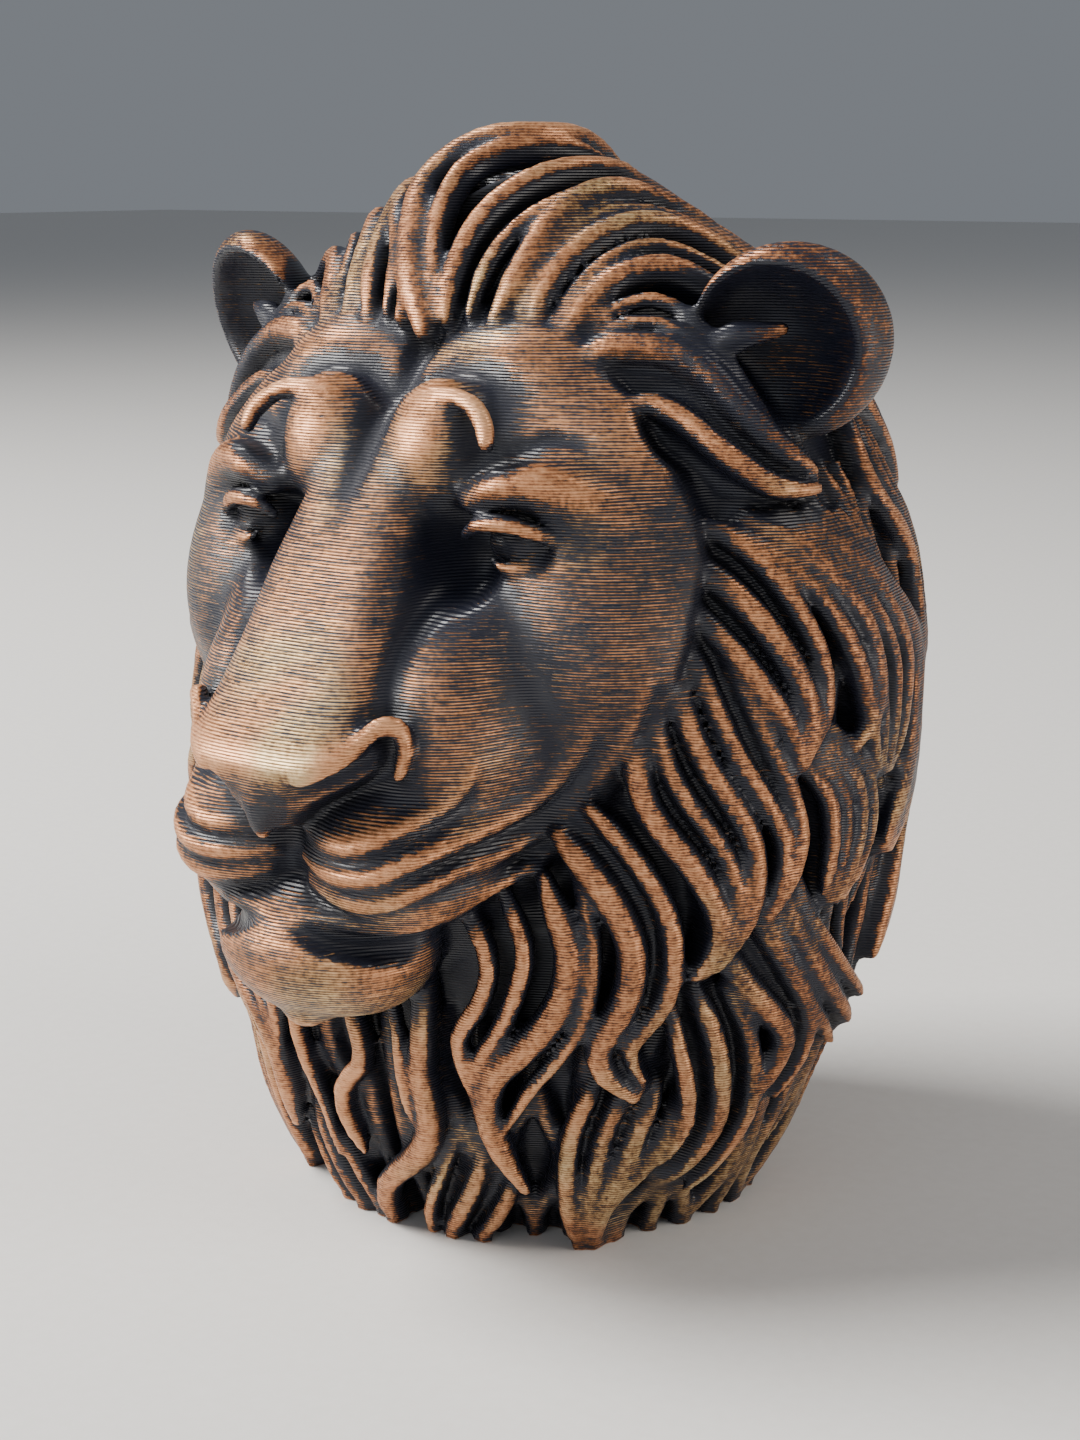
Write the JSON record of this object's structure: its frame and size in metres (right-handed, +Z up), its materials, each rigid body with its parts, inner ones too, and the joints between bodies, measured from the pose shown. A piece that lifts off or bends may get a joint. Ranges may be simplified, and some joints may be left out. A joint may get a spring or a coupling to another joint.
{
  "type": "lion head bust",
  "caption": "Carved lion's head with a full mane of flowing locks, cut flat across the neck so that it stands on its own.",
  "frame": {"origin": "on the flat underside of the neck, at the middle of the mane's width", "axes": "+Z up through the crown, -Y towards the face and nose, +X towards the lion's left ear"},
  "size_m": [0.0592, 0.0583, 0.0793],
  "materials": {
    "black_plastic": "satin black printed plastic, dry-brushed with copper and gold paint on the high places"
  },
  "bodies": {
    "root": {"lion_head": "black_plastic"}
  },
  "joints": []
}
